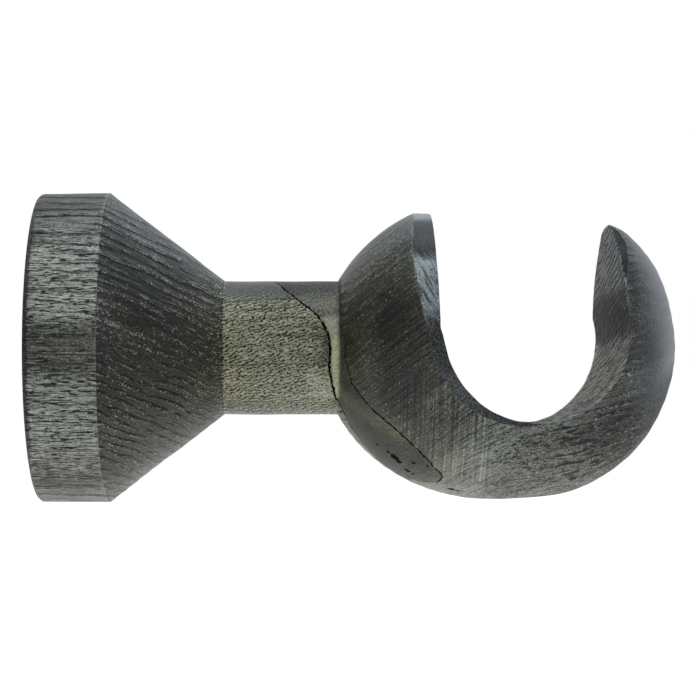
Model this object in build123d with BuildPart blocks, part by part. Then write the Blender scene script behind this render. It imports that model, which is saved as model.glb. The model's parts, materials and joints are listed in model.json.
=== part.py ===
"""Curtain pole bracket, turned from one piece of wood and dark stained.

The turning axis is X. The wall face lies in the plane X = 0 with the origin at its centre, the
bracket stands out from the wall along +X, +Z is up, and the pole lies along Y. All sizes are in mm.
"""
import os
from math import acos, asin, cos, pi, radians, sin, tan

from build123d import *

# Pole and saddle
pole_d = 28.0  # the pole that the saddle is made for
pole_play = 2.0  # how much wider the bore and the slot are than the pole
pole_rise = 2.1  # height of the pole's centre above the turning axis
slot_shift = 0.45  # the sawn slot sits this much nearer to the wall than the bore
slot_lean = 1.5  # degrees by which the sawn slot leans towards the wall

# Turned profile, from the wall outwards
base_d = 51.5
base_thickness = 11.5
cone_length = 19.0
neck_d = 22.4
neck_length = 18.9
bulb_d = 50.5  # at its widest section
bulb_back = 27.8  # half axis of the egg's back half, along the turning axis
pole_ahead = 6.3  # from the bulb's widest section to the pole's centre
nose_wall = 10.15  # wood round the front of the bore
nose_angle = 72.0  # degrees of the nose that are a true arc, up from the turning axis

# Worked edges
front_tip_height = 20.2  # the front arm's tip is dressed round to this radius about the turning axis
bevel_width = 3.4  # of the bevel round the saddle, across the bulb's surface
bevel_depth = 1.25  # of the same bevel, down the saddle's wall
rim_ease = 0.5  # flat taken off the base's two rims

# Fixing
pilot_d = 6.0  # blind hole for a double-ended wood screw
pilot_depth = 25.0

# Worked out from the sizes above
bore_r = (pole_d + pole_play) / 2
base_r = base_d / 2
neck_r = neck_d / 2
bulb_r = bulb_d / 2
nose_r = bore_r + nose_wall
cone_end = base_thickness + cone_length
neck_end = cone_end + neck_length
neck_turn = asin(neck_r / bulb_r)  # where the egg's back half meets the neck, as an ellipse angle
widest_x = neck_end + bulb_back * cos(neck_turn)
pole_x = widest_x + pole_ahead
tip_x = pole_x + nose_r
reach = 2 * max(base_r, bulb_r, nose_r)  # carries every cut past the turning's surface

# The egg's back half is a quarter of an ellipse, less what the neck takes up
egg_turns = [neck_turn + (pi / 2 - neck_turn) * step / 4 for step in range(5)]
egg_back = [(widest_x - bulb_back * cos(turn), bulb_r * sin(turn)) for turn in egg_turns]
egg_rise = (bulb_back * sin(neck_turn), bulb_r * cos(neck_turn))
nose_turn = radians(nose_angle)
nose_start = (pole_x + nose_r * cos(nose_turn), nose_r * sin(nose_turn))
nose_fall = (sin(nose_turn), -cos(nose_turn))

# The slot's back corner, and where the line from it touches the bore
corner_x = pole_x - bore_r - slot_shift
touch_turn = pi + acos(bore_r / (bore_r + slot_shift))
touch = (pole_x + bore_r * cos(touch_turn), pole_rise + bore_r * sin(touch_turn))
mouth_z = pole_rise + reach
mouth_shift = reach * tan(radians(slot_lean))

# The profile is drawn below the axis, so that the turning's seam stays clear of the saddle
below_axis = Plane(origin=(0, 0, 0), x_dir=(1, 0, 0), z_dir=(0, 1, 0))

with BuildPart() as bracket_body:
    # The turning: base, cone, neck and egg-shaped bulb, revolved as one profile
    with BuildSketch(below_axis):
        with BuildLine():
            Polyline(
                (tip_x, 0),
                (0, 0),
                (0, base_r),
                (base_thickness, base_r),
                (cone_end, neck_r),
                (neck_end, neck_r),
            )
            Spline(*egg_back, tangents=[egg_rise, (1, 0)])
            Spline((widest_x, bulb_r), nose_start, tangents=[(1, 0), nose_fall])
            CenterArc((pole_x, 0), nose_r, nose_angle, -nose_angle)
        make_face()
    revolve(axis=Axis.X)
    turned_edges = bracket_body.edges().filter_by(GeomType.CIRCLE)
    chamfer(turned_edges.filter_by_position(Axis.X, 0, base_thickness), length=rim_ease)

    # The saddle: a bore across the bulb, and a slot sawn down into it from above
    with BuildSketch(Plane.XZ):
        with Locations((pole_x, pole_rise)):
            Circle(bore_r)
        with BuildLine():
            Polyline(
                (pole_x, pole_rise),
                (corner_x + 2 * bore_r, pole_rise),
                (corner_x + 2 * bore_r - mouth_shift, mouth_z),
                (corner_x - mouth_shift, mouth_z),
                (corner_x, pole_rise),
                touch,
                close=True,
            )
        make_face()
    extrude(amount=reach, both=True, mode=Mode.SUBTRACT)

    # The bevel: a flat worked along the slot's back wall, over the back arm's tip and round the bore
    egg = bracket_body.faces().filter_by(GeomType.REVOLUTION).sort_by(SortBy.AREA)[-1]
    saddle_rim = bracket_body.edges(Select.LAST).filter_by(
        lambda edge: edge in egg.edges() and edge.center().X < pole_x
    )
    chamfer(saddle_rim, length=bevel_width, length2=bevel_depth, reference=egg)

    # The front arm's dressed tip: a narrow land turned over the top of the arm
    with BuildSketch(Plane.XY):
        with Locations((pole_x, front_tip_height)):
            Rectangle(nose_r, reach, align=(Align.MIN, Align.MIN))
    revolve(axis=Axis.X, revolution_arc=180, mode=Mode.SUBTRACT)

    # The pilot hole in the middle of the wall face
    with Locations(Plane(origin=(0, 0, 0), z_dir=(-1, 0, 0))):
        Hole(pilot_d / 2, pilot_depth)

print(f"wall to pole centre {pole_x:.3f}, overall {tip_x:.3f}")

bracket_body.part.label = "bracket_body"
os.makedirs("parts", exist_ok=True)
export_step(bracket_body.part, "parts/bracket_body.step")
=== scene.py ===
# %% [markdown]
# # A turned wooden curtain pole bracket
# The bracket is one piece of wood. It was turned on a lathe, bored and sawn for the pole, stained
# charcoal and left to dry until it checked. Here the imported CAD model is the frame: it gives the
# place and the main sizes, and this lesson dresses it with a finer surface, the checks and a stain.

# %% Load the frame
import json
from functools import partial
from math import acos, asin, cos, radians, sin, tan

import bpy
import numpy as np
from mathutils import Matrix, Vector


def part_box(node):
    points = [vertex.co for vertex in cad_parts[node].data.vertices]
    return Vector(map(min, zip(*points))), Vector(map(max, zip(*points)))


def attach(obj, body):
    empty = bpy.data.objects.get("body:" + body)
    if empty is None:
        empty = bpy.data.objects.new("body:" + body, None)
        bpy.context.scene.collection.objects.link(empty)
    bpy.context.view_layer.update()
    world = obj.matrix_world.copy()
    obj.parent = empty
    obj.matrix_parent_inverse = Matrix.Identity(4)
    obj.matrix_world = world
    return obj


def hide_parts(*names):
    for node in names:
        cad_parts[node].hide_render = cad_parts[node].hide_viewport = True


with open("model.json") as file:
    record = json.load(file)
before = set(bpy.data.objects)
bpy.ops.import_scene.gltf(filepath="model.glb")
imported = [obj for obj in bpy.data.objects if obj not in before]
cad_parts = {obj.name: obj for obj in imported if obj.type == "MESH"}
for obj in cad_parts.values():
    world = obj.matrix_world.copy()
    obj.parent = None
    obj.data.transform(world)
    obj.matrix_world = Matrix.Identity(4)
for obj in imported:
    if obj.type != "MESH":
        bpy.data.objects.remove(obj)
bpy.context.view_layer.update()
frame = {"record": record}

# %% [markdown]
# ## Sizes
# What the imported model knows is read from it: the length, the base's radius, and the pole's place
# and bore. The sizes in between are the turner's own, and apart from the front tip's they are the same
# as in the part's source. Blender works in metres, so a size in millimetres is multiplied by MM.

# %% Sizes
MM = 0.001
mounts = {mount["name"]: mount for mount in frame["record"]["mounts"]}
_, (length, base_r, _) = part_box("bracket_body")
pole_x, _, pole_z = mounts["pole_saddle"]["pos_m"]
bore_r = mounts["pole_saddle"]["dims"]["r_mm"] * MM
pilot_r = mounts["fixing_hole"]["dims"]["r_mm"] * MM
pilot_depth = mounts["fixing_hole"]["dims"]["length_mm"] * MM
nose_r = length - pole_x

base_thickness = 11.5 * MM
cone_length = 19.0 * MM
neck_r, neck_length = 11.2 * MM, 18.9 * MM
bulb_r, bulb_back = 25.25 * MM, 27.8 * MM  # at its widest section, and the half axis of its back half
nose_turn = radians(72)  # how much of the nose is a true arc
rim_ease = 0.5 * MM
front_tip_r = 20.6 * MM  # a little more than the part's, because the tip's corner is soft here

cone_end = base_thickness + cone_length
neck_end = cone_end + neck_length
neck_turn = asin(neck_r / bulb_r)  # where the egg's back half meets the neck
widest_x = neck_end + bulb_back * cos(neck_turn)
print(f"pole centre {pole_x / MM:.1f} mm from the wall, {length / MM:.1f} mm overall")

# %% [markdown]
# ## The turned profile
# A lathe makes a surface of revolution, so one half outline says all of the turning. It could be
# a list of points traced by hand, but its true parts are few: straight runs for the base, the cone
# and the neck, a quarter of an ellipse for the egg's back, a soft bridge, and an arc for the nose.
# Each part is a formula that is sampled about every half millimetre. The outline starts inside the
# wall face, at the bottom of the pilot hole, so that the hole is turned with the rest.

# %% The parts of the profile
def sampled(formula, step):
    """Points of formula(t) for t from 0 up to, but not including, 1, about step apart."""
    trial = formula(np.linspace(0, 1, 200)[:, None])
    run = np.linalg.norm(np.diff(trial, axis=0), axis=1).sum()
    count = max(2, int(np.ceil(run / step)))
    return formula(np.arange(count)[:, None] / count)


def straight(start, end):
    """The line start + t (end - start)."""
    start, end = np.array(start), np.array(end)
    return lambda t: start + t * (end - start)


def egg_back(t):
    """A quarter ellipse about (widest_x, 0), from the neck's angle to a right angle."""
    turn = neck_turn + t * (np.pi / 2 - neck_turn)
    return np.hstack([widest_x - bulb_back * np.cos(turn), bulb_r * np.sin(turn)])


nose_start = np.array([pole_x + nose_r * cos(nose_turn), nose_r * sin(nose_turn)])


def egg_front(t):
    """A cubic bridge from the widest section to the nose, which leaves and arrives in line."""
    start, end = np.array([widest_x, bulb_r]), nose_start
    pull = np.linalg.norm(end - start)
    leave, arrive = pull * np.array([1, 0]), pull * np.array([sin(nose_turn), -cos(nose_turn)])
    return (
        (2 * t**3 - 3 * t**2 + 1) * start
        + (t**3 - 2 * t**2 + t) * leave
        + (3 * t**2 - 2 * t**3) * end
        + (t**3 - t**2) * arrive
    )


def nose(t):
    """An arc about the pole's place on the axis, from nose_turn down to the axis."""
    turn = nose_turn * (1 - t)
    return np.hstack([pole_x + nose_r * np.cos(turn), nose_r * np.sin(turn)])


print("the nose's arc starts at", (nose_start / MM).round(1), "mm")

# %% The whole profile
fine_step, hole_step = 0.52 * MM, 2.5 * MM
outline = np.vstack(
    [
        sampled(straight((pilot_depth, 0), (pilot_depth, pilot_r)), hole_step),
        sampled(straight((pilot_depth, pilot_r), (0, pilot_r)), hole_step),
        sampled(straight((0, pilot_r), (0, base_r - rim_ease)), 2 * fine_step),
        sampled(straight((0, base_r - rim_ease), (rim_ease, base_r)), fine_step),
        sampled(straight((rim_ease, base_r), (base_thickness, base_r)), fine_step),
        sampled(straight((base_thickness, base_r), (cone_end, neck_r)), fine_step),
        sampled(straight((cone_end, neck_r), (neck_end, neck_r)), fine_step),
        sampled(egg_back, fine_step),
        sampled(egg_front, fine_step),
        sampled(nose, fine_step),
        [[length, 0]],
    ]
)
skin_start = int(np.argmax(outline[:, 1] >= base_r))
skin_x, skin_r = outline[skin_start:].T
print(f"{len(outline)} points on the half outline")


def radius_at(x):
    """The turning's radius at a distance x from the wall."""
    return np.interp(x, skin_x, skin_r)


# %% [markdown]
# ## From grids to meshes
# Every shape below is a grid of points, rows by columns, worked out as whole arrays. Faces could be
# listed by hand, but their rule is the same for all of them, so one helper turns such a grid into a
# mesh, with its columns joined in a ring and its two ends closed by a fan.

# %% Grid helper
def ring_mesh(name, grid, first_tip, last_tip):
    """A closed mesh from rings of points: quads between rings i and i+1, columns j and j+1, and a
    fan from each end ring to its tip."""
    rings, columns = grid.shape[:2]
    index = np.arange(rings * columns).reshape(rings, columns)
    onward = np.roll(index, -1, axis=1)
    quads = np.stack([index[:-1], index[1:], onward[1:], onward[:-1]], axis=-1).reshape(-1, 4)
    first, last = rings * columns, rings * columns + 1
    start_fan = np.stack([np.full(columns, first), index[0], onward[0]], axis=-1)
    end_fan = np.stack([index[-1], np.full(columns, last), onward[-1]], axis=-1)
    points = np.vstack([grid.reshape(-1, 3), first_tip, last_tip])
    mesh = bpy.data.meshes.new(name)
    mesh.from_pydata(points.tolist(), [], quads.tolist() + start_fan.tolist() + end_fan.tolist())
    piece = bpy.data.objects.new(name, mesh)
    bpy.context.collection.objects.link(piece)
    print(f"{name}: {len(points)} points, {len(mesh.polygons)} faces")
    return piece


# %% [markdown]
# ## Growth layers and unevenness
# Timber grows in layers, and their cut edges draw lines on a turning. In this piece the layers lie
# level across it and wander along it: level at the base and the neck, falling through the cone and
# climbing through the bulb. So their climb is given at a few places and summed along the axis. No face
# of dried wood is quite even either. A Displace modifier could shake it, but a sum of sine waves has a
# known size and can be asked for at any point, so one rule serves the skin, the saddle and the stain.

# %% Growth layers and unevenness
layer_places = [11, 13, 29, 31, 48, 52, 68, 80]  # mm from the wall
layer_climb = [0, -0.45, -0.45, 0, 0, 0.75, 0.75, 0.25]  # mm up for each mm along


def layer_rise(points):
    """How far the growth layer through each point has climbed from its height at the wall: the
    layers' climb, summed along the axis."""
    x = np.linspace(0, length, 221)
    climbed = np.interp(x / MM, layer_places, layer_climb).cumsum() * x[1]
    return np.interp(points[..., 0], x, climbed)


def waves(points, size, seed, stretch=(1, 1, 1), count=24):
    """Smooth unevenness between about -1 and 1: the sum of sine waves of about one wavelength,
    with directions and phases from a seed. stretch lengthens the waves along X, Y and Z."""
    chance = np.random.default_rng(seed)
    ways = chance.normal(size=(count, 3))
    ways /= np.linalg.norm(ways, axis=1)[:, None] * np.array(stretch)
    ways *= 2 * np.pi / (size * chance.uniform(0.7, 1.4, size=(count, 1)))
    phases = chance.uniform(0, 2 * np.pi, size=count)
    return np.sin(points @ ways.T + phases).sum(axis=-1) / np.sqrt(count)


print(f"the layers climb {layer_rise(np.array([length, 0, 0])) / MM:.1f} mm from the wall to the nose")

# %% [markdown]
# ## The turning
# Spinning the outline gives the body. A real turning that has dried isn't a perfect one: the hard
# layers stand a little proud of the soft ones and the surface moves by a tenth of a millimetre, the
# front arm's tip was dressed round by hand, and that arm was sanded less than the rest. A Screw
# modifier would spin the outline too, but on a grid each of these is a sum of arrays.

# %% The turning
columns = 300
turn = np.arange(columns)[None, :] * 2 * np.pi / columns
dent_size, dent_height = 14 * MM, 0.05 * MM
ridge_gap, ridge_height, ridge_bend = 2.6 * MM, 0.025 * MM, 9 * MM


def on_turning(x, angle, radius):
    """A point x from the wall, at an angle round the axis: 0 faces the viewer and +90 degrees is up."""
    return np.stack([x + 0 * angle, -radius * np.cos(angle), radius * np.sin(angle)], axis=-1)


def relief(points):
    """Height of the weathered surface: broad dents and low ridges that follow the layers."""
    above_layer = points[..., 2] - layer_rise(points)
    dents = waves(points, dent_size, seed=3)
    ridges = np.sin(2 * np.pi * above_layer / ridge_gap + 1.5 * waves(points, ridge_bend, seed=5))
    return dent_height * (dents - 1) + ridge_height * ridges


ring_x, ring_r = outline[1:-1, :1], outline[1:-1, 1:]
grid = on_turning(ring_x, turn, ring_r)
# the front arm's tip is dressed round: its upper side is held to a radius with a soft corner
tip_soft = 0.7 * MM
spare = (ring_r - front_tip_r) / tip_soft
dressed = front_tip_r + tip_soft * (spare - np.logaddexp(0, spare))
on_tip = (ring_x > pole_x) & (np.sin(turn) > 0)
grid = np.where(on_tip[..., None], on_turning(ring_x, turn, dressed), grid)
# the front arm is a little fuller towards its tip
fuller_by, fuller_from, fuller_over = 0.6 * MM, 5 * MM, 8 * MM
fuller = fuller_by * (ring_x > pole_x) * np.clip((grid[..., 2] - fuller_from) / fuller_over, 0, 1)
# both move the skin along the outline's own normal, and the relief leaves the wall face flat
ahead = np.gradient(outline, axis=0)[1:-1]
outward = np.stack([-ahead[:, 1], ahead[:, 0]], axis=1) / np.linalg.norm(ahead, axis=1)[:, None]
push = on_turning(outward[:, :1], turn, outward[:, 1:])
skin = np.arange(1, len(outline) - 1) >= skin_start
grid = grid + push * (relief(grid) * skin[:, None] + fuller)[..., None]
body = ring_mesh("bracket", grid, [pilot_depth, 0, 0], [length, 0, 0])

# %% [markdown]
# ## The saddle
# The pole drops through a sawn slot into a bore. Two plain cutters, a cylinder and a box, would make
# both, but their edges couldn't be worked on together. So one outline goes round the whole opening:
# two walls that lean a little to the wall, and the bore's arc below.

# %% The saddle's outline
slot_shift = 0.45 * MM
slot_lean = radians(1.5)
mouth_z = 40 * MM
wall_step, arc_points = 0.55 * MM, 110
corner = np.array([pole_x - bore_r - slot_shift, pole_z])
touch_turn = np.pi + acos(bore_r / (bore_r + slot_shift))
leave_turn = 2 * np.pi + slot_lean + acos((bore_r - slot_shift) * cos(slot_lean) / bore_r)


def bore(turn):
    """The bore's circle about the pole's centre."""
    return np.stack([pole_x + bore_r * np.cos(turn), pole_z + bore_r * np.sin(turn)], axis=-1)


def mouth_above(foot):
    """Where a leaning wall that stands on foot reaches the height of the cutter's mouth."""
    return foot + (mouth_z - foot[1]) * np.array([-tan(slot_lean), 1])


bore_arc = bore(np.linspace(touch_turn, leave_turn, arc_points))
front_foot = bore_arc[-1]
back_wall = sampled(straight(mouth_above(corner), corner), wall_step)
back_foot = sampled(straight(corner, bore(touch_turn)), wall_step)
front_wall = sampled(straight(mouth_above(front_foot), front_foot), wall_step)[::-1]
saddle = np.vstack([back_wall, back_foot, bore_arc, front_wall])
ahead = np.gradient(saddle, axis=0)
out_of = np.stack([ahead[:, 1], -ahead[:, 0]], axis=1) / np.linalg.norm(ahead, axis=1)[:, None]
print(f"{len(saddle)} points round the saddle")

# %% [markdown]
# ## The saddle's bevel
# Where the saddle comes out of the wood its edge is bevelled: a broad flat over the back arm, narrower
# round the bore, running out to nothing past the bottom, and a thin worn edge on the front arm. A Bevel
# modifier has one width, so this bevel is worked into the cutter: past a set depth below the skin, the
# cutter flares outwards. How deep and how fast is given at a few places along the outline.

# %% The bevel along the edge
arc_start = len(back_wall) + len(back_foot)
front_start = arc_start + len(bore_arc)


def step_at(wall, z):
    """The number of the point of a wall that lies nearest to a height in mm."""
    return int(np.argmin(np.abs(wall[:, 1] - z * MM)))


# the number of a point of the outline, how deep the bevel starts on the wall there in mm, and how far
# it flares outwards for each millimetre of depth
bevel_places = [
    (step_at(back_wall, 21), 1.15, 60),
    (step_at(back_wall, 14), 1.66, 60),
    (step_at(back_wall, 8), 1.25, 60),
    (len(back_wall), 0.85, 40),
    (arc_start + 18, 0.85, 13),
    (arc_start + 34, 0.75, 8),
    (arc_start + 42, 0.5, 5),
    (arc_start + 49, 0.05, 2),
    (front_start, 0.15, 1),
    (front_start + step_at(front_wall, 8), 0.4, 1.1),
    (front_start + step_at(front_wall, 11), 0.7, 1.5),
    (front_start + step_at(front_wall, 13.5), 0.96, 2),
    (front_start + step_at(front_wall, 16.5), 1.2, 2),
    (front_start + step_at(front_wall, 18.5), 0.8, 1.6),
    (front_start + step_at(front_wall, 20), 0.3, 1),
]
bevel_place, bevel_depth, bevel_flare = np.array(bevel_places).T
step = np.arange(len(saddle))
bevel_from = radius_at(saddle[:, 0]) - np.interp(step, bevel_place, bevel_depth) * MM
flare = np.interp(step, bevel_place, bevel_flare)
print(f"the bevel starts {bevel_depth.min()} to {bevel_depth.max()} mm below the skin")

# %% [markdown]
# ## The saddle's cutter
# The outline is carried along Y, close rows inside the wood and wider ones past it. An auger that goes
# in from both sides tears the bore and leaves its floor a little fuller in the middle, so the cutter's
# wall is uneven and its underside hollow, which a plain extrusion couldn't be.

# %% The saddle's cutter
wing, most_flare, least_width = 14 * MM, 6 * MM, 0.3 * MM
tear_height, tear_size = 0.05 * MM, 2.6 * MM
crown = 0.45 * MM
half_width = np.sqrt(np.maximum(bevel_from**2 - saddle[:, 1] ** 2, least_width**2))
outer = 1 + np.linspace(0, 1, 14)[1:] ** 3
rows = np.concatenate([-outer[::-1], np.linspace(-1, 1, 80), outer])[:, None]
past_bevel = np.sign(rows) * np.maximum(np.abs(rows) - 1, 0)
across_y = np.clip(rows, -1, 1) * half_width + past_bevel * wing
flat_grid = np.stack([saddle[:, 0] + 0 * across_y, across_y, saddle[:, 1] + 0 * across_y], axis=-1)
beyond = np.maximum(np.hypot(across_y, saddle[:, 1]) - bevel_from, 0)
spread = np.minimum(flare * beyond, most_flare)
# the bore's lower half tore, so its wall is rougher there than the sawn slot's
tear_share = np.clip((pole_z + 5 * MM - saddle[:, 1]) / (2 * MM), 0.25, 1)
spread = spread - tear_height * tear_share * waves(flat_grid, tear_size, seed=8, stretch=(3, 1, 1))
floor_share = np.clip((pole_z - 9 * MM - saddle[:, 1]) / (5 * MM), 0, 1)
spread = spread - crown * floor_share * np.clip(1 - (across_y / half_width) ** 2, 0, 1)
outwards = np.stack([out_of[:, 0], 0 * step, out_of[:, 1]], axis=-1)
cutter_grid = flat_grid + spread[..., None] * outwards
first_end, last_end = cutter_grid[0].mean(axis=0), cutter_grid[-1].mean(axis=0)
saddle_cutter = ring_mesh("saddle_cutter", cutter_grid, first_end, last_end)

# %% [markdown]
# ## Checks in the wood
# As the piece dried, two checks opened where the neck meets the bulb. Each is a V-shaped split: it
# follows a crooked route over the surface, is widest in the middle and closes at its ends. It could be
# a dark painted line, but a real cut holds a real shadow. The routes are a few listed places.

# %% The checks' routes
# mm from the wall, and degrees round the axis
neck_check = [
    (37.5, 92), (38.5, 79), (40.7, 55), (42.7, 42), (45.3, 29.5), (46.3, 22.5), (47.3, 13.5), (47.9, 3.5),
    (48.0, -6.5), (47.8, -17), (48.2, -32), (48.9, -50), (49.7, -57), (50.7, -63), (51.7, -69), (53.7, -75),
    (55.5, -80),
]
bulb_check = [
    (49.9, 14), (50.3, 1), (50.2, -11), (50.8, -19), (51.3, -26), (53.0, -32), (54.7, -36.5), (57.7, -41),
    (60.5, -46), (63.0, -51.5), (64.1, -53.5), (64.3, -56), (65.8, -60), (66.2, -63), (65.5, -69.5),
    (63.7, -73), (61.6, -78),
]


def check_route(places, step=0.35 * MM):
    """Even points along the places, joined by straight runs on the unrolled surface, as distances
    from the wall and angles."""
    x, angle = np.array(places).T * np.array([[MM], [np.pi / 180]])
    knots = on_turning(x, angle, radius_at(x))
    reached = np.concatenate([[0], np.linalg.norm(np.diff(knots, axis=0), axis=1).cumsum()])
    at = np.linspace(0, reached[-1], int(reached[-1] / step))
    return np.interp(at, reached, x), np.interp(at, reached, angle)


print(f"the checks have {len(check_route(neck_check)[0])} and {len(check_route(bulb_check)[0])} points")

# %% The checks' cutters
def check_cutter(name, places, width, depth, seed):
    """A V carried along the route: two edges just above the skin, ragged by a seeded walk, and a
    keel below it. The V's width and depth swell from nothing at both ends."""
    x, angle = check_route(places)
    spine = on_turning(x, angle, radius_at(x))
    ahead = np.gradient(spine, axis=0)
    ahead /= np.linalg.norm(ahead, axis=1)[:, None]
    near = 0.1 * MM
    rise = (radius_at(x + near) - radius_at(x - near)) / (2 * near)
    up = on_turning(-rise, angle, np.ones_like(x))
    up /= np.linalg.norm(up, axis=1)[:, None]
    side = np.cross(ahead, up)
    chance = np.random.default_rng(seed)
    swell = np.clip(np.sin(np.pi * np.linspace(0, 1, len(x))) ** 0.4, 0.06, 1)[:, None]
    ragged = width * (1 + 0.7 * chance.uniform(-1, 1, size=(2, len(x), 1))) / 2 * swell
    wander = 0.2 * width * chance.uniform(-1, 1, size=(len(x), 1))
    lift = 0.5 * MM
    open_up = 1 + lift / depth
    left = spine + up * lift - side * ragged[0] * open_up
    right = spine + up * lift + side * ragged[1] * open_up
    keel = spine - up * depth * swell + side * wander
    return ring_mesh(name, np.stack([left, keel, right], axis=1), spine[0], spine[-1])


check_cutters = [
    check_cutter("neck_check_cutter", neck_check, 0.4 * MM, 1.6 * MM, seed=11),
    check_cutter("bulb_check_cutter", bulb_check, 0.36 * MM, 1.4 * MM, seed=12),
]

# %% [markdown]
# ## Pits
# Between and below the checks a few crumbs of wood broke out. Painted spots vanish in the reflection on
# this smooth wood, so each pit is cut too, by a small lumpy ball that is set in the skin.

# %% The pits' cutters
# mm from the wall, degrees round the axis, and radius in mm
pits = [
    (58.4, -61.5, 0.95),
    (59.1, -63.5, 0.6),
    (57.4, -60.2, 0.4),
    (61.4, -59, 0.42),
    (60.6, -68.4, 0.55),
    (61.5, -69.6, 0.35),
    (55.6, -60, 0.32),
    (63.6, -57.5, 0.3),
    (67.8, -73.8, 0.65),
    (68.9, -74.4, 0.4),
]


def pit_cutter(name, x, angle, radius, seed):
    """A lumpy ball on the skin: latitude rings about its pole, each point's distance uneven by a
    seed, drawn out along the axis and pressed from above."""
    rings, columns = 7, 14
    polar = np.linspace(0, np.pi, rings + 2)[1:-1, None]
    turn = np.arange(columns)[None, :] * 2 * np.pi / columns
    level = np.cos(polar) + 0 * turn
    unit = np.stack([np.sin(polar) * np.cos(turn), np.sin(polar) * np.sin(turn), level], axis=-1)
    lumpy = radius * np.random.default_rng(seed).uniform(0.6, 1.2, size=(rings, columns, 1))
    centre = on_turning(x, angle, radius_at(x))
    tips = centre + np.array([[0, 0, radius], [0, 0, -radius]])
    return ring_mesh(name, centre + unit * lumpy * np.array([1.3, 1, 0.8]), tips[0], tips[1])


check_cutters += [
    pit_cutter(f"pit_cutter_{i}", x * MM, radians(angle), radius * MM, seed=30 + i)
    for i, (x, angle, radius) in enumerate(pits)
]

# %% [markdown]
# ## Cutting
# A Boolean modifier takes each cutter out of the body. Every shape is a closed mesh that faces
# outwards, so the cuts leave one closed skin. The cutter's material comes along with its faces,
# which keeps the bored and sawn faces apart from the turned ones.

# %% Cut the body
turned_wood = bpy.data.materials.new("stained_wood_turned")
sawn_wood = bpy.data.materials.new("stained_wood_bored")
split_wood = bpy.data.materials.new("stained_wood_split")
for material in (turned_wood, sawn_wood, split_wood):
    material.use_nodes = True
    body.data.materials.append(material)
saddle_cutter.data.materials.append(sawn_wood)
for cutter in check_cutters:
    cutter.data.materials.append(split_wood)


def cut(piece, cutter):
    """Takes cutter out of piece for good, and removes it."""
    modifier = piece.modifiers.new(cutter.name, "BOOLEAN")
    modifier.operation, modifier.solver, modifier.object = "DIFFERENCE", "MANIFOLD", cutter
    modifier.material_mode = "TRANSFER"
    graph = bpy.context.evaluated_depsgraph_get()
    mesh = bpy.data.meshes.new_from_object(piece.evaluated_get(graph))
    piece.modifiers.clear()
    piece.data = mesh
    bpy.data.objects.remove(cutter)


for cutter in [saddle_cutter] + check_cutters:
    cut(body, cutter)
body.data.shade_smooth()
body.data.set_sharp_from_angle(angle=radians(32))
body.data.calc_loop_triangles()
finish = np.zeros(len(body.data.polygons), dtype=np.int32)
body.data.polygons.foreach_get("material_index", finish)
print(f"bracket: {len(body.data.loop_triangles)} triangles")
print("faces turned, bored and split:", np.bincount(finish, minlength=3))
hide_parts("bracket_body")
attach(body, "root")

# %% [markdown]
# ## Where the finish differs
# One stain, but not one look: cross-cut faces drank more of it and went dark, the neck's long grain
# tore into ripples and stayed pale, and the wood between the two checks is smooth. Each such zone is
# worked out for every corner of every face, from its place and its normal. Zones could be painted by
# hand, but a formula stays exact. First come the corners' places and three soft-edged rulers.

# %% Places on the mesh
def read(collection, name):
    """One vector of every element of a mesh collection, as rows."""
    flat = np.empty(len(collection) * 3, dtype=np.float32)
    collection.foreach_get(name, flat)
    return flat.reshape(-1, 3).astype(float)


corner_point = np.empty(len(body.data.loops), dtype=np.int32)
body.data.loops.foreach_get("vertex_index", corner_point)
corners_of = np.empty(len(body.data.polygons), dtype=np.int32)
body.data.polygons.foreach_get("loop_total", corners_of)
points, normals = read(body.data.vertices, "co")[corner_point], read(body.data.corner_normals, "vector")
x_mm, y_mm, z_mm = (points / MM).T
from_axis = np.hypot(y_mm, z_mm)
angle = np.degrees(np.arctan2(z_mm, -y_mm))  # round the axis, 0 towards the viewer
side = np.degrees(np.arctan2(z_mm, np.abs(y_mm)))  # the same for both sides, 90 straight up
sawn = np.repeat(finish == 1, corners_of)
turned = 1 - sawn


def ease(value, start, end):
    """0 before start, 1 after end, and a soft S between."""
    part = np.clip((value - start) / (end - start), 0, 1)
    return part * part * (3 - 2 * part)


def within(value, start, end, soft):
    """1 between start and end, and a soft fall to 0 over a stretch on both sides."""
    return ease(value, start - soft, start) * (1 - ease(value, end, end + soft))


def patch(along, up, ruler=side):
    """A soft-edged patch: along is its start, end and softness in mm from the wall, and up the same
    in degrees round the axis."""
    return within(x_mm, *along) * within(ruler, *up)


print(f"{len(points)} corners, {sawn.mean():.0%} of them bored or sawn")

# %% [markdown]
# ## Zones of the turning
# The base's rim is weathered in two bands, and behind it a thin dark edge lies in the wall's shadow, as
# painted shade. The cone and the bulb get painted light above, the neck is smooth and gets painted shade
# above, the bulb is flaky underneath and the nose is smooth. Each zone could be a patch picked face by
# face, but that would change with every cut, so it is told by its distance from the wall and its angle.

# %% Zones of the turning
across_grain = ease(np.abs(normals[:, 0]), 0.15, 0.6)
on_rim = within(x_mm, 0.5, 11.2, 0.4)
rim_back = (1 - ease(x_mm, 0.35, 0.7)) * ease(from_axis, 24.4, 25)
rim_bands = on_rim * (within(side, 8, 38, 10) + 0.9 * within(side, -60, -14, 8))
lying_flat = on_rim * ease(np.abs(normals[:, 2]), 0.94, 0.985)  # where a layer lies along the skin
on_cone = within(x_mm, 12, 30, 1)
cone_top = on_cone * ease(side, 40, 60)
on_neck = within(x_mm, 31, 49, 0.8)
facing_up = ease(side, 35, 56)
neck_top = on_neck * facing_up
bulb_top = within(x_mm, 50, 66, 2) * ease(side, 40, 58) * turned
bulb_foot = ease(x_mm, 69, 76) * (1 - ease(side, -45, -15)) * turned
worked_spot = patch((62, 70, 2), (-38, -24, 4))  # tool marks hide the fine growth lines here
nose_side = ease(x_mm, 94.5, 99) * ease(z_mm, -15, -6)
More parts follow.
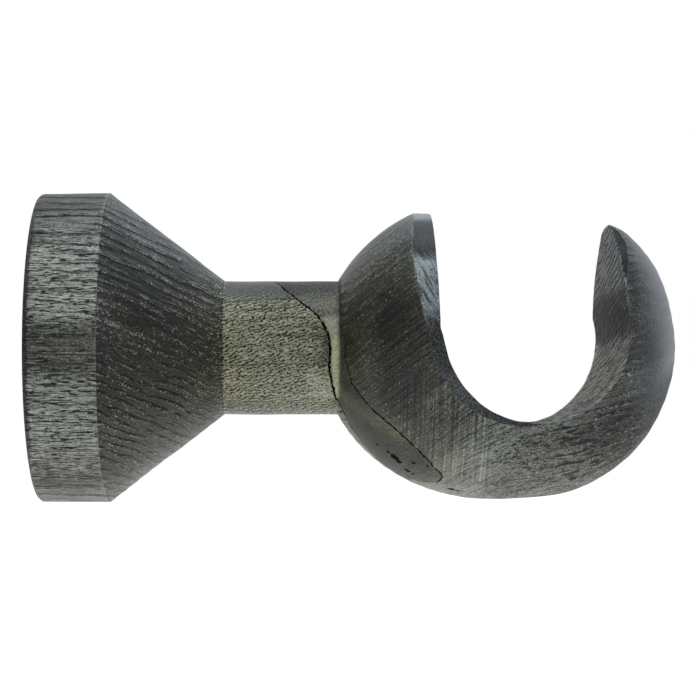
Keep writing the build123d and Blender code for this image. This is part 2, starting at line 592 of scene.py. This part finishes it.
print(f"the neck is {on_neck.mean():.0%} of the corners")

# %% [markdown]
# ## Zones beside the checks
# Between the two checks the wood is smooth and dull, with a painted highlight on a strip at the neck's
# end and an olive tinge. Left of the neck's check a dark spot is painted shade, and below that is a paler
# one.

# %% Zones beside the checks
def check_at(places):
    """How far from the wall a check runs, in mm, at each corner's angle."""
    x, at = np.array(places)[::-1].T
    return np.interp(angle, at, x)


between = ease(x_mm - check_at(neck_check), -0.1, 0.4) * ease(check_at(bulb_check) - x_mm, -0.1, 0.4)
between *= ease(angle, -96, -80) * (1 - ease(angle, 95, 115))
uneven = (1 - between) * (1 + 0.5 * waves(points, 4 * MM, seed=21))
shaded_spot = np.clip(patch((46, 48, 5), (-9, 1, 12), angle) * uneven, 0, 1)
pale_spot = np.clip(patch((45.5, 48, 3), (-44, -28, 10), angle) * uneven, 0, 1)
neck_lit_strip = between * patch((47, 49.3, 0.3), (-60, 20, 10), angle)
bulb_edge = between * within(angle, -30, 25, 10) * ease(x_mm, 49.4, 49.8)
olive_strip = between * within(angle, -42, 5, 10) * ease(x_mm, 47, 49)
print(f"between the checks: {between.mean():.1%} of the corners")

# %% [markdown]
# ## Zones of the saddle
# The bevel was filed, the bore was torn by the auger, and the front arm's wall was sawn, with a dark
# stretch where the saw met the bore and a thin bevel that is told by its distance from the wall's plane.

# %% Zones of the saddle
in_front = x_mm > 86  # the front arm, past the bore's middle
under_skin = radius_at(points[:, 0]) / MM - from_axis
past_wall = x_mm - (front_foot[0] - (points[:, 2] - front_foot[1]) * tan(slot_lean)) / MM
bevel = sawn * ~in_front * (1 - ease(under_skin, 1.9, 2.3))
bored = sawn * (1 - bevel) * (1 - ease(z_mm, 6.5, 8.5))
front_bevel = sawn * (z_mm > 6) * ease(past_wall, 0.08, 0.2)
# a painted glint along the front arm's edge, next to the wall
glint_edge = sawn * within(past_wall, 0.05, 0.35, 0.05) * within(z_mm, 6.5, 10.5, 1)
front_wall_side = sawn * in_front * (1 - front_bevel)
dark_wall = front_wall_side * within(z_mm, 3, 7, 3)
print(f"the bevel is {bevel.mean():.1%} of the corners")

# %% [markdown]
# ## How pale the stain is, and painted light and shade
# Many rows are painted light and shade instead: lit and shaded zones of the shape, a sheen and a glint.
# The stain is rubbed off in some zones and stayed dark in others. A painted map could show that, but a
# row of a list can be changed by itself: each is an amount and a zone, and their sum moves the stain's
# tone up or down. The amounts are matched to the object.

# %% Rubbed and dark zones
# painted light and shade along the bevel by height: dark round the bore, pale higher up, a pale top facet
bevel_heights = [-14, 1, 3, 6, 13, 15, 20, 21]  # mm above the axis
bevel_light_and_shade = [-0.2, -0.26, -0.1, 0.4, 0.35, -0.36, -0.36, 0.35]


def total(rows):
    """The sum of amount times zone over the rows."""
    return sum(amount * zone for amount, zone in rows)


base_light_and_shade = [
    # painted shade on the rim's rear edge, and painted light and shade round the rim's turn
    (-0.9, rim_back * within(side, -35, 40, 15)),
    (-0.11, on_rim * within(side, -8, 4, 6)),
    (0.17, on_rim * within(side, 10, 34, 6)),
    (0.19, on_rim * within(side, -50, -16, 6)),
    (-0.17, on_rim * ease(np.abs(side), 50, 62)),
    (-0.12, on_rim * ease(side, 45, 60)),
    # painted light on the cone's top and underside
    (0.2, cone_top),
    (0.06, on_cone * ease(-side, 15, 40)),
]
neck_stain_and_light = [
    (0.19, on_neck),
    # painted shade on the neck's top and underside, and painted light and shade in bands round it
    (-0.45, neck_top),
    (-0.04, on_neck * within(side, 8, 35, 6)),
    (0.05, on_neck * within(side, -10, 4, 5)),
    (-0.05, on_neck * within(side, -42, -15, 6)),
    (-0.23, on_neck * ease(-side, 45, 60)),
    # painted shade: the dark spot left of the neck's check
    (-0.45, shaded_spot),
    (0.1, pale_spot),
    (-0.3, between),
    (0.1, between * on_neck),
    (0.25, between * neck_top),
    (0.12, between * ease(-angle, 20, 40)),
    (0.1, olive_strip),
    # painted highlight on the strip at the neck's end
    (0.36, neck_lit_strip),
    (-0.15, bulb_edge),
]
bulb_stain_and_light = [
    # painted light on the bulb's top
    (0.12, bulb_top),
    (0.12, within(x_mm, 51, 58, 3) * (1 - between)),
    (-0.15, patch((58, 69, 4), (-30, 15, 18)) * turned),
    (0.03, patch((60, 72, 4), (-60, -20, 8)) * turned),
    (-0.14, within(x_mm, 79, 88, 3) * within(z_mm, -16, -12, 1.5) * turned),
    (-0.3, nose_side),
    # painted sheen along the nose's lower edge and underside
    (0.14, patch((96, 104, 3), (-46, -14, 8)) * turned),
    (0.2, within(x_mm, 91, 106, 4) * ease(-side, 48, 66) * turned),
]
saddle_stain_and_light = [
    (1, bevel * np.interp(z_mm, bevel_heights, bevel_light_and_shade)),
    (-0.55, front_bevel),
    # painted glint
    (0.9, glint_edge),
    (0.08, front_wall_side * ease(z_mm, 9, 13)),
    (-0.7, dark_wall),
    (0.3, bored * (x_mm > 80)),
]
stain_and_painted_light = total(base_light_and_shade + neck_stain_and_light + bulb_stain_and_light + saddle_stain_and_light)
print(f"the tone moves by {stain_and_painted_light.min():.2f} to {stain_and_painted_light.max():.2f}")

# %% [markdown]
# ## Maps on the mesh
# The material has to know these zones. Vertex paint would do, but it is one colour at a time, so each
# map is a named value of its own on every corner. Most run from 0 to 1. The map of the stain's paleness
# and painted light and shade also goes below 0, and layer_shift is the layers' climb, in mm.

# %% Maps on the mesh
crust_places = [0, 12, 19, 30, 49, 51, 66, 78, 88, 95, 101]  # mm from the wall
crust_shares = [0.62, 0.36, 0.3, 0.8, 0.8, 0.06, 0.1, 0.8, 0.6, 0.25, 0.2]
crust = np.interp(x_mm, crust_places, crust_shares) * turned * (1 - 0.75 * bulb_foot)
fine_bulb = within(x_mm, 50, 68, 3) * ease(side, -45, -25) * turned * (1 - between) * (1 - worked_spot)
warm_neck = within(x_mm, 29, 50, 7) * (1 - 0.8 * between * ease(side, -5, 10))
warm_neck *= (1 - 0.6 * facing_up) * (1 - 0.55 * pale_spot)
smooth_rows = [
    (1, between + neck_top + nose_side + bevel + front_bevel),
    (0.7, shaded_spot),
    (0.6, pale_spot + bulb_top),
    (0.35, cone_top),
]
warm_rows = [
    (0.75, warm_neck),
    (0.3, between * within(side, -45, -20, 10) + within(x_mm, 49, 66, 5) * turned),
    (1, olive_strip),
    (0.5, patch((17, 30, 6), (-40, 8, 25))),
    (0.6, bored),
]
# painted cool light: a steel blue tinge on the bevel, the nose and the tops of the bulb and cone
painted_cool_light_rows = [
    (1, bevel * ease(z_mm, 2, 6) + nose_side + front_bevel + bulb_top),
    (0.8, cone_top),
    (0.1, pale_spot),
]
maps = {
    "end_grain": across_grain * (1 - 0.5 * nose_side) * (1 - 0.3 * between - 0.4 * olive_strip),
    "torn": within(x_mm, 30, 49, 1.5) * (1 - between),
    "speckled": np.maximum(bulb_foot, lying_flat),
    "weathered": rim_bands + 0.35 * bulb_foot + 0.6 * dark_wall + 0.4 * bored,
    "smooth": np.clip(total(smooth_rows), 0, 1),
    "warm": np.clip(total(warm_rows), 0, 1),
    "painted_cool_light": np.clip(total(painted_cool_light_rows), 0, 1),
    "crust": crust + 0.75 * bored + glint_edge,
    "filed": bevel * within(z_mm, 4, 15, 2),
    "fine_lines": fine_bulb + 0.7 * bored,
    "tooled": patch((60, 71, 4), (-58, -18, 8)) * turned * (1 - between),
    "streaky": patch((87, 95, 4), (-60, -36, 8)) * turned,
    "dull": np.clip(between + bulb_foot, 0, 1),
    "stain_and_painted_light": stain_and_painted_light,
    "layer_shift": -layer_rise(points) / MM * turned,
}
for name, values in maps.items():
    body.data.attributes.new(name, "FLOAT", "CORNER").data.foreach_set("value", values.astype(np.float32))
    print(f"{name}: {values.min():.2f} to {values.max():.2f}, mean {values.mean():.2f}")

# %% [markdown]
# ## The stained wood
# The material is a dense wood, turned, brushed and stained charcoal: a matt, open-grained surface whose
# hollows hold the stain and whose ridges rubbed pale; the tone also paints its ridges pale and its hollows
# dark as light and shade on the relief. A picture wrapped round the shape could never run on into the
# saddle, so the pattern is a solid one, cut open by the shape as real timber is. Nodes make it. One helper
# turns sRGB hex colours to linear ones, and one adds a node with its settings and links. Inputs that share
# a name are told by number: of a Mix node 0 is the factor, 2 and 3 are two numbers, 6 and 7 are two
# colours, and output 2 is the mixed colour. A MapRange takes a value, the two ends that it runs between
# and what these become.

# %% Helpers for materials
def linear(code):
    """An sRGB hex colour such as 3a3b37 as linear red, green, blue and alpha."""
    parts = np.array([int(code[i : i + 2], 16) for i in (0, 2, 4)]) / 255
    light = np.where(parts <= 0.04045, parts / 12.92, ((parts + 0.055) / 1.055) ** 2.4)
    return (*light.tolist(), 1.0)


def add(tree, kind, inputs=(), out=0, stops=(), **settings):
    """Adds a node with its settings, sets or links its inputs, in order or by name, and returns one
    of its outputs. stops are the places and hex colours of a ramp."""
    made = tree.nodes.new("ShaderNode" + kind)
    for name, value in settings.items():
        setattr(made, name, value)
    for name, value in inputs.items() if isinstance(inputs, dict) else enumerate(inputs):
        if isinstance(value, bpy.types.NodeSocket):
            tree.links.new(value, made.inputs[name])
        else:
            made.inputs[name].default_value = value
    for at, code in stops:
        ramp = made.color_ramp.elements
        element = ramp[0] if at == 0 else ramp[-1] if at == 1 else ramp.new(at)
        element.position, element.color = at, linear(code)
    return made.outputs[out]


print(f"the middle grey 808080 is {linear('808080')[0]:.3f} in linear light")

# %% [markdown]
# ## Grain
# Torn fibres, pores and scratches are long along the grain and thin through the layers. So the noises
# are drawn in coordinates that climb with the layers, and each is stretched to spots of a known size.
# Real pores are finer than the render can show, so the finest grit is drawn about two pixels across.

# %% Grain
# the size in mm of each noise's spots along the axis, across it and through the layers, and its detail
turned_spots = {
    "wave": (18, 9, 7, 1),
    "breaks": (7, 4, 1.2, 1),
    "crust": (2.2, 1.1, 0.25, 3),
    "scales": (1.5, 1.2, 1.0, 2),
    "holes": (1.3, 0.6, 0.2, 3),
    "grit": (0.34, 0.28, 0.28, 1),
    "stain": (16, 9, 8, 2),
    "tool": (0.2, 30, 30, 3),
    "speckle": (0.5, 0.45, 0.4, 2.5),
    "flake": (2.0, 1.5, 1.5, 3),
    "streak": (3.2, 1.5, 0.5, 2),
}
sawn_spots = turned_spots | {"crust": (1.0, 8, 0.4, 3), "holes": (0.7, 5, 0.3, 3)}
file_turn, file_density = radians(-62), (250, 250, 2200)  # marks to a metre: 4 mm long, half a mm apart


def grain_noises(make, on, spots, lean):
    """Coordinates that lean by an angle and climb with the layers, and the noises in them, with one
    over a spot's size as density. The file's marks cross the bevel at a slant of their own."""
    place = make("TexCoord", out="Object")
    leaning = make("Mapping", {"Vector": place, "Rotation": (lean, 0, 0)})
    shift = make("Math", (on["layer_shift"], MM), operation="MULTIPLY")
    grain = make("VectorMath", (leaning, make("CombineXYZ", {"Z": shift})), operation="ADD")
    scaled = {}
    for name, (along, across, through, detail) in spots.items():
        density = [1 / (size * MM) for size in (along, across, through)]
        scaled[name] = make("VectorMath", (grain, density), operation="MULTIPLY"), detail
    filing = make("Mapping", {"Vector": place, "Rotation": (0, file_turn, 0)})
    scaled["file"] = make("VectorMath", (filing, file_density), operation="MULTIPLY"), 2
    noise = {}
    for name, (vector, detail) in scaled.items():
        noise[name] = make("TexNoise", {"Vector": vector, "Scale": 1.0, "Detail": detail}, out="Fac")
    return grain, noise


print(f"{len(turned_spots)} noises follow the grain")

# %% [markdown]
# ## Growth lines and rows of crust
# Each layer ends in a thin dark line, and a row of raised, torn fibres sits just past it. The line's dark
# and the row's pale flecks are partly the wood's own and partly painted shade and light on that relief, as
# if lit from above. A Wave texture draws even stripes, but these need a shape of their own across a layer.
# So height is counted in layers, and the fraction left over says where in its layer a spot lies.

# %% Growth lines and rows of crust
layer_sway, fine_gap = 2.4 * MM, 0.85 * MM
softly = {"interpolation_type": "SMOOTHSTEP"}


def growth_marks(make, on, grain, noise, layer_mm, line_width):
    """Marks from the place in a layer: a line at its start, a row of crust past it, and finer lines
    counted the same way. Lines are broken by a noise and fade in smooth, speckled and fine zones."""
    height = make("SeparateXYZ", (grain,), out="Z")
    wavy = make("Math", (noise["wave"], layer_sway, height), operation="MULTIPLY_ADD")
    place = {}
    for name, gap in (("layer", layer_mm * MM), ("fine", fine_gap)):
        count = make("Math", (wavy, 1 / gap), operation="MULTIPLY")
        place[name] = make("Math", (count,), operation="FRACT")
    broken = make("MapRange", (noise["breaks"], 0.36, 0.52, 0, 1), **softly)
    coarse = make("MapRange", (on["fine_lines"], 0, 1, 1, 0.15))
    plain, unspeckled = (
        make("Math", (1.0, on[name]), operation="SUBTRACT") for name in ("smooth", "speckled")
    )
    row_end = make("MapRange", (place["layer"], 0.4, 0.8, 1, 0), **softly)
    mark = {
        "line": make("MapRange", (place["layer"], 0, line_width, 1, 0), **softly),
        "row": make("MapRange", (place["layer"], 0.1, 0.22, 0, 1), **softly),
        "fine_line": make("MapRange", (place["fine"], 0, 0.25, 1, 0), **softly),
        "broken": broken,
        "plain": plain,
    }
    fades = {"line": (broken, coarse, plain, unspeckled), "row": (row_end, broken)}
    for name, shares in fades.items():
        for share in shares:
            mark[name] = make("Math", (mark[name], share), operation="MULTIPLY")
    mark["end_row"] = mark["row"]
    for share in (on["end_grain"], coarse, plain):
        mark["end_row"] = make("Math", (mark["end_row"], share), operation="MULTIPLY")
    return mark


print(f"fine lines lie {fine_gap / MM:.2f} mm apart")

# %% [markdown]
# ## Torn fibres
# On the neck the long grain tore into short ridges that lie across the layers at a slant, and elsewhere
# the crust is a rough noise, thin in rows along the layers or thick all over. A second bump on top would
# double every mark, so all of it becomes one roughness and one cover.

# %% Torn fibres
ripple_gap, ripple_slant, ripple_bend = 0.55 * MM, -0.35, 2.6


def torn_ripples(make, grain, noise):
    """The sine of a slanting place that a noise bends, with two finer noises on top."""
    along, up = (make("SeparateXYZ", (grain,), out=way) for way in ("X", "Z"))
    slant = make("Math", (along, ripple_slant, up), operation="MULTIPLY_ADD")
    phase = make("Math", (slant, 1 / ripple_gap), operation="MULTIPLY")
    phase = make("Math", (noise["scales"], ripple_bend, phase), operation="MULTIPLY_ADD")
    phase = make("Math", (phase, 2 * np.pi), operation="MULTIPLY")
    ripple = make("Math", (phase,), operation="SINE")
    ripple = make("Math", (ripple, 0.12, 0.08), operation="MULTIPLY_ADD")
    for name, share in (("speckle", 0.5), ("grit", 0.4)):
        ripple = make("Math", (noise[name], share, ripple), operation="MULTIPLY_ADD")
    return ripple


def torn_crust(make, on, grain, noise, mark):
    """How rough the wood is, and how much of it is crust: in rows up to a share of 0.4, and spreading
    from the rows to all of it above that."""
    all_over = make("MapRange", (on["crust"], 0.4, 1, 0, 1))
    amount = make("MapRange", (on["crust"], 0, 0.4, 0, 1))
    cover = make("Mix", {0: all_over, 2: mark["row"], 3: 1.0})
    for share in (mark["plain"], amount):
        cover = make("Math", (cover, share), operation="MULTIPLY")
    rough = make("Mix", {0: on["torn"], 2: noise["crust"], 3: torn_ripples(make, grain, noise)})
    rough = make("Mix", {0: on["speckled"], 2: rough, 3: noise["speckle"]})
    return rough, cover


print(f"ripples lie {ripple_gap / MM:.2f} mm apart")

# %% [markdown]
# ## One tone
# All marks are added up to one tone, pale for ridges and dark for hollows, so that they can cross and
# cover each other. Layered Mix nodes could do it, but their order would matter. Each row of the list is
# a mark, the map that says where it lies, and its share of the tone.

# %% One tone
def stain_tone(make, on, noise, mark, rough, cover, streak, ground, line_depth):
    """The sum of the ground's tone, the stain's paleness and painted light and shade, and each mark times
    its place and share.
    """
    off_middle = make("Math", (noise["flake"], 0.5), operation="SUBTRACT")
    off_middle = make("Math", (off_middle,), operation="ABSOLUTE")
    flake = make("MapRange", (off_middle, 0.004, 0.012, 1, 0))
    flake = make("Math", (flake, mark["broken"]), operation="MULTIPLY")
    fleck = make("MapRange", (rough, 0.52, 0.64, 0, 1), **softly)
    pit = make("MapRange", (rough, 0.39, 0.46, 1, 0), **softly)
    # flecks and pits: partly stain in hollows and rubbed ridges, partly painted light and shade on the
    # relief
    shares = [
        (fleck, cover, make("Mix", {0: on["end_grain"], 2: 0.3, 3: 0.42})),
        (pit, cover, make("Mix", {0: on["end_grain"], 2: -0.95, 3: -0.35})),
        (mark["line"], 1.0, -line_depth),
        (mark["fine_line"], on["fine_lines"], -0.3),
        (make("MapRange", (noise["speckle"], 0.63, 0.74, 0, 1)), on["end_grain"], 0.6),
        (make("MapRange", (noise["grit"], 0.52, 0.64, 0, 1)), mark["end_row"], 0.34),
        (make("MapRange", (noise["grit"], 0.38, 0.48, 1, 0)), mark["end_row"], -0.4),
        (make("MapRange", (noise["file"], 0.36, 0.5, 1, 0)), on["filed"], -0.45),
        (flake, on["speckled"], -0.8),
        (make("MapRange", (noise["holes"], 0.4, 0.455, 1, 0)), on["weathered"], -1.15),
        (streak, on["streaky"], -1.2),
    ]
    for name, where, share in (("tool", on["tooled"], 1.2), ("grit", 1.0, 0.9), ("stain", 1.0, 0.6)):
        shares.append((make("Math", (noise[name], 0.5), operation="SUBTRACT"), where, share))
    tone = make("Math", (on["stain_and_painted_light"], ground), operation="ADD")
    for value, where, share in shares:
        placed = make("Math", (value, where), operation="MULTIPLY")
        tone = make("Math", (placed, share, tone), operation="MULTIPLY_ADD")
    print(f"{len(shares)} marks make the tone")
    return tone


# %% [markdown]
# ## Colour, gloss and height
# Stain takes differently on long grain and on cross-cut grain. One ramp would make them look alike, so
# the tone picks a colour from a ramp for each. Some zones have an ochre tinge, and some a steel blue one
# that is painted cool light. The smooth zones are a little glossier, and the marks are also heights for the
# bump.

# %% Colour, gloss and height
sheen, sheen_roughness = 0.06, 0.3
smooth_roughness, dull_roughness = 0.4, 0.28


def stained_wood(material, spots, lean, layer_mm, line, ground, stops, painted_cool_light, bump_mm, gloss, matt):
    """Puts the stain on a material. line is a growth line's width, as a share of a layer, and its
    depth in tone, and stops are the two ramps, for long and for cross-cut grain."""
    tree = material.node_tree
    make = partial(add, tree)
    shader = tree.nodes["Principled BSDF"]
    on = {name: make("Attribute", attribute_name=name, out="Fac") for name in maps}
    grain, noise = grain_noises(make, on, spots, lean)
    line_width, line_depth = line
    mark = growth_marks(make, on, grain, noise, layer_mm, line_width)
    rough, cover = torn_crust(make, on, grain, noise, mark)
    streak = make("MapRange", (noise["streak"], 0.42, 0.445, 1, 0), **softly)
    tone = stain_tone(make, on, noise, mark, rough, cover, streak, ground, line_depth)

    long_grain, cross_cut = (make("ValToRGB", (tone,), stops=ramp) for ramp in stops)
    colour = make("Mix", {0: on["end_grain"], 6: long_grain, 7: cross_cut}, out=2, data_type="RGBA")
    # an ochre tinge, then a steel blue one that is painted cool light
    for name, code in (("warm", "f2eccb"), ("painted_cool_light", painted_cool_light)):
        tinge = {0: on[name], 6: colour, 7: linear(code)}
        colour = make("Mix", tinge, out=2, data_type="RGBA", blend_type="MULTIPLY")
    tree.links.new(colour, shader.inputs["Base Color"])

    shader.inputs["Sheen Weight"].default_value = sheen
    shader.inputs["Sheen Roughness"].default_value = sheen_roughness
    shader.inputs["Specular IOR Level"].default_value = gloss
    roughness = make("MapRange", (on["smooth"], 0, 1, matt, smooth_roughness))
    roughness = make("Math", (on["dull"], dull_roughness, roughness), operation="MULTIPLY_ADD")
    tree.links.new(roughness, shader.inputs["Roughness"])

    height = make("Math", (rough, cover), operation="MULTIPLY")
    gouge = make("Math", (streak, on["streaky"]), operation="MULTIPLY")
    for value, share in ((mark["line"], -0.12), (noise["grit"], 0.12), (gouge, -0.25)):
        height = make("Math", (value, share, height), operation="MULTIPLY_ADD")
    bump = make("Bump", {"Height": height, "Strength": 1.0, "Distance": bump_mm * MM}, out="Normal")
    tree.links.new(bump, shader.inputs["Normal"])
    print(f"{material.name}: {len(tree.nodes)} nodes")


# %% [markdown]
# ## Three finishes
# The turned skin is the warmest, with a wide range between its pale long grain and its dark cross-cut
# grain. The bored and sawn faces are greyer and drier, and take the stain alike all over. Inside a
# check the wood is in the dark and full of dust, so a plain, matt, nearly black wood is enough.

# %% Three finishes
turned_long = [(0, "12120f"), (0.3, "49493f"), (0.55, "7c7d72"), (0.8, "a2a397"), (1, "c3c4b7")]
turned_cross = [(0, "080806"), (0.3, "15150e"), (0.55, "26261c"), (0.8, "535347"), (1, "979788")]
sawn_grain = [(0, "101011"), (0.3, "3c3d3c"), (0.55, "626365"), (0.8, "858687"), (1, "a9aaa9")]
stained_wood(
    turned_wood,
    turned_spots,
    lean=0.0,
    layer_mm=1.5,
    line=(0.14, 0.45),
    ground=0.5,
    stops=(turned_long, turned_cross),
    painted_cool_light="e0e9fc",
    bump_mm=1.0,
    gloss=0.5,
    matt=0.48,
)
stained_wood(
    sawn_wood,
    sawn_spots,
    lean=radians(13),
    layer_mm=1.1,
    line=(0.45, 1.2),
    ground=0.55,
    stops=(sawn_grain, sawn_grain),
    painted_cool_light="dfeeec",
    bump_mm=0.8,
    gloss=0.3,
    matt=0.8,
)
split_shader = split_wood.node_tree.nodes["Principled BSDF"]
split_shader.inputs["Base Color"].default_value = linear("141311")
split_shader.inputs["Roughness"].default_value = 0.9

# %% [markdown]
# ## Floor
# The bracket hangs at its wall mount, so the floor is a pale sheet of paper some way below it, and its
# shadow falls there. The paper would grey towards its far edge, so it glows a little for the camera
# alone and its edge melts into the white room.

# %% Floor
floor_z = -85 * MM
floor_half, paper_glow = 3.0, 0.5
floor_mesh = bpy.data.meshes.new("floor")
sheet = np.array([[-1, -1], [1, -1], [1, 1], [-1, 1]]) * floor_half
floor_mesh.from_pydata([(x, y, floor_z) for x, y in sheet.tolist()], [], [(0, 1, 2, 3)])
floor = bpy.data.objects.new("floor", floor_mesh)
bpy.context.collection.objects.link(floor)
pale_paper = bpy.data.materials.new("pale_paper")
pale_paper.use_nodes = True
paper = pale_paper.node_tree
paper_shader = paper.nodes["Principled BSDF"]
paper_shader.inputs["Base Color"].default_value = linear("ececea")
paper_shader.inputs["Roughness"].default_value = 0.9
paper_shader.inputs["Emission Color"].default_value = (1, 1, 1, 1)
seen = add(paper, "LightPath", out="Is Camera Ray")
glow = add(paper, "Math", (seen, paper_glow), operation="MULTIPLY")
paper.links.new(glow, paper_shader.inputs["Emission Strength"])
floor_mesh.materials.append(pale_paper)
print(f"the floor lies {-floor_z / MM:.0f} mm below the axis")

# %% [markdown]
# ## Room
# The light is a soft white tent that is open and dim towards the viewer, which leaves the side that
# faces the viewer a little darker than the edges. A grey world would light all sides alike. In gloss the
# opening is nearly black, the camera sees the tent as white, and its upper right is a little cooler.

# %% Room
world = bpy.data.worlds.new("white_tent")
bpy.context.scene.world = world
world.use_nodes = True
tent = world.node_tree
in_tent = partial(add, tent)
tent_light, open_front, dark_front = 0.9, 0.7, 0.03
ray = {name: in_tent("LightPath", out=f"Is {name} Ray") for name in ("Camera", "Glossy", "Transmission")}
direction = in_tent("TexCoord", out="Generated")
towards, upper_right = (
    in_tent("VectorMath", (direction, way), operation="DOT_PRODUCT", out="Value")
    for way in ((0, -1, 0), (0.5, 0, 0.87))
)
mirrored = in_tent("Math", (ray["Glossy"], ray["Transmission"]), operation="MAXIMUM")
soft_opening = in_tent("MapRange", (towards, 0.3, 0.9, 1.0, open_front), **softly)
dark_opening = in_tent("MapRange", (towards, -0.7, 0.0, 1.0, dark_front), **softly)
opening = in_tent("Mix", {0: mirrored, 2: soft_opening, 3: dark_opening})
strength = in_tent("MapRange", (mirrored, 0, 1, tent_light, 1.0))
strength = in_tent("Math", (strength, opening), operation="MULTIPLY")
strength = in_tent("Mix", {0: ray["Camera"], 2: strength, 3: 1.0})
coolness = in_tent("MapRange", (upper_right, -0.5, 0.6, 0, 1))
tints = {0: coolness, 6: linear("fff8ec"), 7: linear("ecf4ff")}
tint = in_tent("Mix", tints, out=2, data_type="RGBA")
tint = in_tent("Mix", {0: ray["Camera"], 6: tint, 7: linear("ffffff")}, out=2, data_type="RGBA")
tent.links.new(tint, tent.nodes["Background"].inputs["Color"])
tent.links.new(strength, tent.nodes["Background"].inputs["Strength"])
bpy.context.scene.view_settings.view_transform = "Standard"
print(f"{len(tent.nodes)} nodes light the tent")

# %% [markdown]
# ## Lamps
# Three soft square lamps shape the wood inside the tent: one above, one behind on the right for the
# pale edge of the nose, and a weak warm one below for the light that a white table throws back. One
# strong lamp would leave a hard shadow.

# %% Lamps
def lamp(name, place, size, watts, code):
    """A square lamp that shines on the middle of the bracket."""
    data = bpy.data.lights.new(name, "AREA")
    data.size, data.energy, data.color = size, watts, linear(code)[:3]
    light = bpy.data.objects.new(name, data)
    bpy.context.collection.objects.link(light)
    light.location = place
    light.visible_camera = False
    aim = Vector((length / 2, 0, 0)) - light.location
    light.rotation_euler = aim.to_track_quat("-Z", "Y").to_euler()
    print(f"{name}: {watts} W")


lamp("lamp_above", (0.1, 0.0, 0.5), 0.4, 1.15, "eef6ff")
lamp("lamp_right", (0.5, 0.3, 0.15), 0.4, 0.35, "e6f2ff")
lamp("lamp_below", (0.05, 0.02, -0.08), 0.3, 0.19, "fff6e4")

# %% [markdown]
# ## Camera
# By its outline the photograph was taken from close by and slightly below the axis, because the base
# and the nose turn away. A flat side view wouldn't show that, so the camera's distance, drop and aim
# were fitted until the outlines agreed.

# %% Camera
photo_px = 696
lens_px = 2030  # the focal length, counted in the photograph's pixels
sight_distance = 340.6 * MM
sight_drop = radians(2.7)
camera_x, aim_x = 43.45 * MM, 51.1 * MM
camera_data = bpy.data.cameras.new("camera")
camera_data.sensor_width = 36
camera_data.lens = camera_data.sensor_width * lens_px / photo_px
camera = bpy.data.objects.new("camera", camera_data)
bpy.context.collection.objects.link(camera)
camera.location = (camera_x, -sight_distance * cos(sight_drop), -sight_distance * sin(sight_drop))
aim = Vector((aim_x, 0, 0)) - camera.location
camera.rotation_euler = aim.to_track_quat("-Z", "Y").to_euler()
bpy.context.scene.camera = camera
print(f"a lens of {camera_data.lens:.0f} mm")
